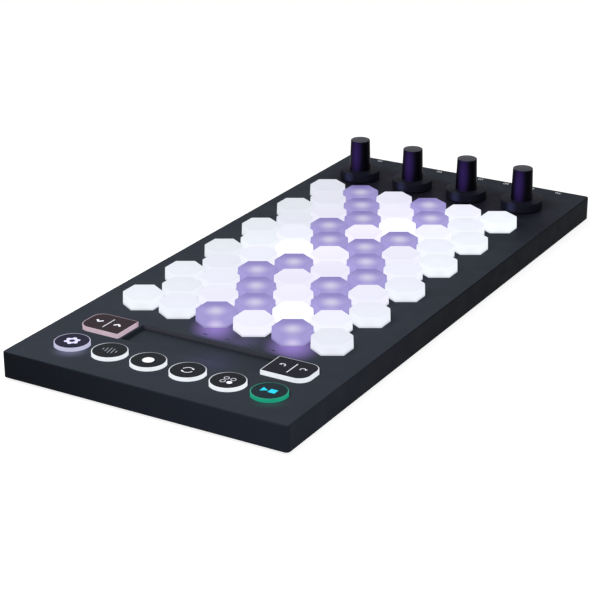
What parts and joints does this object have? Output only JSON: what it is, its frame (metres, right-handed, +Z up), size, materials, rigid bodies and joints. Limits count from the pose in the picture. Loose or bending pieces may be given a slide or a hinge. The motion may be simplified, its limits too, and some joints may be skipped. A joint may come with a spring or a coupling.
{
  "type": "midi controller",
  "caption": "Flat desktop music controller with a field of sprung hexagonal keys, push encoders with tall knobs, round and rocker buttons and a sunk touch channel.",
  "frame": {"origin": "centre of the footprint, on the plane the feet stand on", "axes": "+X to the right, +Y from the button edge to the encoder edge, +Z up"},
  "size_m": [0.176, 0.384, 0.0432],
  "materials": {
    "cover_plastic": "fine moulded texture",
    "base_plastic": "moulded",
    "foot_rubber": "matt",
    "screw_steel": "blackened",
    "board_laminate": "solder mask",
    "ribbon": "flat ribbon",
    "frame_plastic": "white, opaque",
    "pad_silicone": "carbon-filled silicone",
    "lamp": "moulded package",
    "switch": "moulded package",
    "key_silicone": "translucent matt silicone",
    "cap_plastic": "translucent",
    "face_plastic": "satin",
    "window_plastic": "smoked",
    "knob_plastic": "glossy side, satin top",
    "shaft_metal": "turned",
    "encoder_metal": "plated",
    "socket_plastic": "moulded",
    "usb_metal": "plated"
  },
  "bodies": {
    "case": {"top_cover": "cover_plastic", "base_plate": "base_plastic", "rubber_feet": "foot_rubber", "case_screws": "screw_steel", "main_board": "board_laminate", "rear_board": "board_laminate", "board_link": "ribbon", "key_frame": "frame_plastic", "sensor_pads": "pad_silicone", "key_lamps": "lamp", "button_switches": "switch", "channel_sensor": "board_laminate", "channel_windows": "window_plastic", "encoder_housings": "encoder_metal", "encoder_nuts": "encoder_metal", "jack_sockets": "socket_plastic", "usb_socket": "usb_metal"},
    "key_row_01": {"key_row_01": "key_silicone"},
    "key_row_02": {"key_row_02": "key_silicone"},
    "key_row_03": {"key_row_03": "key_silicone"},
    "key_row_04": {"key_row_04": "key_silicone"},
    "key_row_05": {"key_row_05": "key_silicone"},
    "key_row_06": {"key_row_06": "key_silicone"},
    "key_row_07": {"key_row_07": "key_silicone"},
    "key_row_08": {"key_row_08": "key_silicone"},
    "key_row_09": {"key_row_09": "key_silicone"},
    "key_row_10": {"key_row_10": "key_silicone"},
    "key_row_11": {"key_row_11": "key_silicone"},
    "button_1": {"button_cap_1": "cap_plastic", "button_face_1": "face_plastic"},
    "button_2": {"button_cap_2": "cap_plastic", "button_face_2": "face_plastic"},
    "button_3": {"button_cap_3": "cap_plastic", "button_face_3": "face_plastic"},
    "button_4": {"button_cap_4": "cap_plastic", "button_face_4": "face_plastic"},
    "button_5": {"button_cap_5": "cap_plastic", "button_face_5": "face_plastic"},
    "button_6": {"button_cap_6": "cap_plastic", "button_face_6": "face_plastic"},
    "rocker_left": {"rocker_left": "cap_plastic", "rocker_face_left": "face_plastic"},
    "rocker_right": {"rocker_right": "cap_plastic", "rocker_face_right": "face_plastic"},
    "rotor_1": {"encoder_rotor_1": "encoder_metal"},
    "knob_1": {"knob_1": "knob_plastic", "encoder_shaft_1": "shaft_metal"},
    "rotor_2": {"encoder_rotor_2": "encoder_metal"},
    "knob_2": {"knob_2": "knob_plastic", "encoder_shaft_2": "shaft_metal"},
    "rotor_3": {"encoder_rotor_3": "encoder_metal"},
    "knob_3": {"knob_3": "knob_plastic", "encoder_shaft_3": "shaft_metal"},
    "rotor_4": {"encoder_rotor_4": "encoder_metal"},
    "knob_4": {"knob_4": "knob_plastic", "encoder_shaft_4": "shaft_metal"}
  },
  "joints": [
    {"name": "key_row_01_press", "type": "slide", "parent": "case", "child": "key_row_01", "axis": [0, 0, -1], "range_m": [0, 0.0012], "stiffness_N_per_m": 4000, "springref_m": -0.0003},
    {"name": "key_row_02_press", "type": "slide", "parent": "case", "child": "key_row_02", "axis": [0, 0, -1], "range_m": [0, 0.0012], "stiffness_N_per_m": 4000, "springref_m": -0.0003},
    {"name": "key_row_03_press", "type": "slide", "parent": "case", "child": "key_row_03", "axis": [0, 0, -1], "range_m": [0, 0.0012], "stiffness_N_per_m": 4000, "springref_m": -0.0003},
    {"name": "key_row_04_press", "type": "slide", "parent": "case", "child": "key_row_04", "axis": [0, 0, -1], "range_m": [0, 0.0012], "stiffness_N_per_m": 4000, "springref_m": -0.0003},
    {"name": "key_row_05_press", "type": "slide", "parent": "case", "child": "key_row_05", "axis": [0, 0, -1], "range_m": [0, 0.0012], "stiffness_N_per_m": 4000, "springref_m": -0.0003},
    {"name": "key_row_06_press", "type": "slide", "parent": "case", "child": "key_row_06", "axis": [0, 0, -1], "range_m": [0, 0.0012], "stiffness_N_per_m": 4000, "springref_m": -0.0003},
    {"name": "key_row_07_press", "type": "slide", "parent": "case", "child": "key_row_07", "axis": [0, 0, -1], "range_m": [0, 0.0012], "stiffness_N_per_m": 4000, "springref_m": -0.0003},
    {"name": "key_row_08_press", "type": "slide", "parent": "case", "child": "key_row_08", "axis": [0, 0, -1], "range_m": [0, 0.0012], "stiffness_N_per_m": 4000, "springref_m": -0.0003},
    {"name": "key_row_09_press", "type": "slide", "parent": "case", "child": "key_row_09", "axis": [0, 0, -1], "range_m": [0, 0.0012], "stiffness_N_per_m": 4000, "springref_m": -0.0003},
    {"name": "key_row_10_press", "type": "slide", "parent": "case", "child": "key_row_10", "axis": [0, 0, -1], "range_m": [0, 0.0012], "stiffness_N_per_m": 4000, "springref_m": -0.0003},
    {"name": "key_row_11_press", "type": "slide", "parent": "case", "child": "key_row_11", "axis": [0, 0, -1], "range_m": [0, 0.0012], "stiffness_N_per_m": 4000, "springref_m": -0.0003},
    {"name": "button_1_press", "type": "slide", "parent": "case", "child": "button_1", "axis": [0, 0, -1], "range_m": [0, 0.0006], "stiffness_N_per_m": 1500, "springref_m": -0.0003},
    {"name": "button_2_press", "type": "slide", "parent": "case", "child": "button_2", "axis": [0, 0, -1], "range_m": [0, 0.0006], "stiffness_N_per_m": 1500, "springref_m": -0.0003},
    {"name": "button_3_press", "type": "slide", "parent": "case", "child": "button_3", "axis": [0, 0, -1], "range_m": [0, 0.0006], "stiffness_N_per_m": 1500, "springref_m": -0.0003},
    {"name": "button_4_press", "type": "slide", "parent": "case", "child": "button_4", "axis": [0, 0, -1], "range_m": [0, 0.0006], "stiffness_N_per_m": 1500, "springref_m": -0.0003},
    {"name": "button_5_press", "type": "slide", "parent": "case", "child": "button_5", "axis": [0, 0, -1], "range_m": [0, 0.0006], "stiffness_N_per_m": 1500, "springref_m": -0.0003},
    {"name": "button_6_press", "type": "slide", "parent": "case", "child": "button_6", "axis": [0, 0, -1], "range_m": [0, 0.0006], "stiffness_N_per_m": 1500, "springref_m": -0.0003},
    {"name": "rocker_left_tilt", "type": "hinge", "parent": "case", "child": "rocker_left", "pos_m": [-0.05791, -0.1372, 0.0133], "axis": [0, 1, 0], "range_deg": [-2.5, 2.5], "stiffness_Nm_per_rad": 0.2},
    {"name": "rocker_right_tilt", "type": "hinge", "parent": "case", "child": "rocker_right", "pos_m": [0.05791, -0.1372, 0.0133], "axis": [0, 1, 0], "range_deg": [-2.5, 2.5], "stiffness_Nm_per_rad": 0.2},
    {"name": "knob_1_turn", "type": "hinge", "parent": "case", "child": "rotor_1", "pos_m": [-0.0585, 0.1504, 0.0165], "axis": [0, 0, 1], "continuous": true},
    {"name": "knob_1_push", "type": "slide", "parent": "rotor_1", "child": "knob_1", "axis": [0, 0, -1], "range_m": [0, 0.0005], "stiffness_N_per_m": 2500, "springref_m": -0.0004},
    {"name": "knob_2_turn", "type": "hinge", "parent": "case", "child": "rotor_2", "pos_m": [-0.0195, 0.1504, 0.0165], "axis": [0, 0, 1], "continuous": true},
    {"name": "knob_2_push", "type": "slide", "parent": "rotor_2", "child": "knob_2", "axis": [0, 0, -1], "range_m": [0, 0.0005], "stiffness_N_per_m": 2500, "springref_m": -0.0004},
    {"name": "knob_3_turn", "type": "hinge", "parent": "case", "child": "rotor_3", "pos_m": [0.0195, 0.1504, 0.0165], "axis": [0, 0, 1], "continuous": true},
    {"name": "knob_3_push", "type": "slide", "parent": "rotor_3", "child": "knob_3", "axis": [0, 0, -1], "range_m": [0, 0.0005], "stiffness_N_per_m": 2500, "springref_m": -0.0004},
    {"name": "knob_4_turn", "type": "hinge", "parent": "case", "child": "rotor_4", "pos_m": [0.0585, 0.1504, 0.0165], "axis": [0, 0, 1], "continuous": true},
    {"name": "knob_4_push", "type": "slide", "parent": "rotor_4", "child": "knob_4", "axis": [0, 0, -1], "range_m": [0, 0.0005], "stiffness_N_per_m": 2500, "springref_m": -0.0004}
  ]
}
